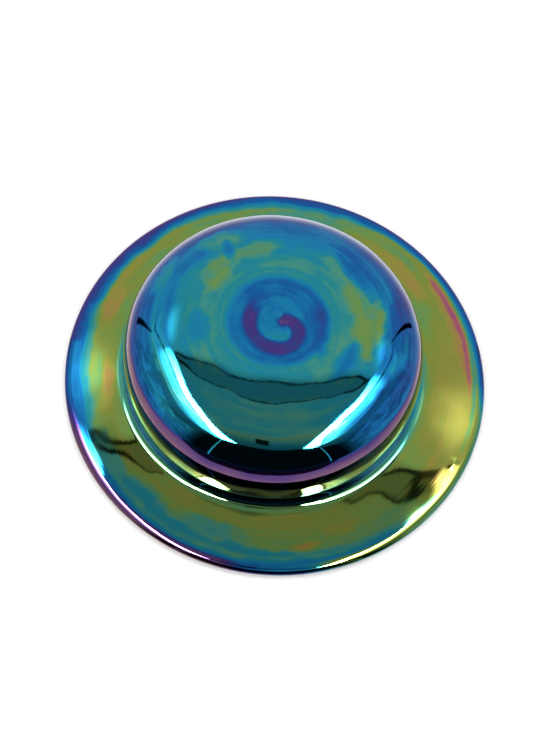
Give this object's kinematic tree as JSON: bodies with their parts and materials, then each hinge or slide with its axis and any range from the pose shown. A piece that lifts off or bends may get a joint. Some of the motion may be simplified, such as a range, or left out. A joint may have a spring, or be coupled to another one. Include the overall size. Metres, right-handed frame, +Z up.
{
  "type": "art glass bowl",
  "caption": "Round blown glass bowl with a deep straight-sided well and a wide flat rim, dark glass under an iridised lustre, resting upside down on its rim.",
  "frame": {"origin": "centre of the rim's circle, on the plane that the resting land of the lip touches", "axes": "+Z up along the rim's axis, from the rim towards the crown of the well; the well leans 2.9 mm towards -X"},
  "size_m": [0.25, 0.25, 0.0595],
  "materials": {
    "dark_glass": "fire-polished, opaque black-amethyst glass",
    "outer_lustre": "glossy iridised lustre, blue-green to olive gold with purple bands",
    "inner_lustre": "glossy iridised lustre, purple to blue-green"
  },
  "bodies": {
    "root": {"glass_wall": "dark_glass", "outer_lustre_skin": "outer_lustre", "inner_lustre_skin": "inner_lustre"}
  },
  "joints": []
}
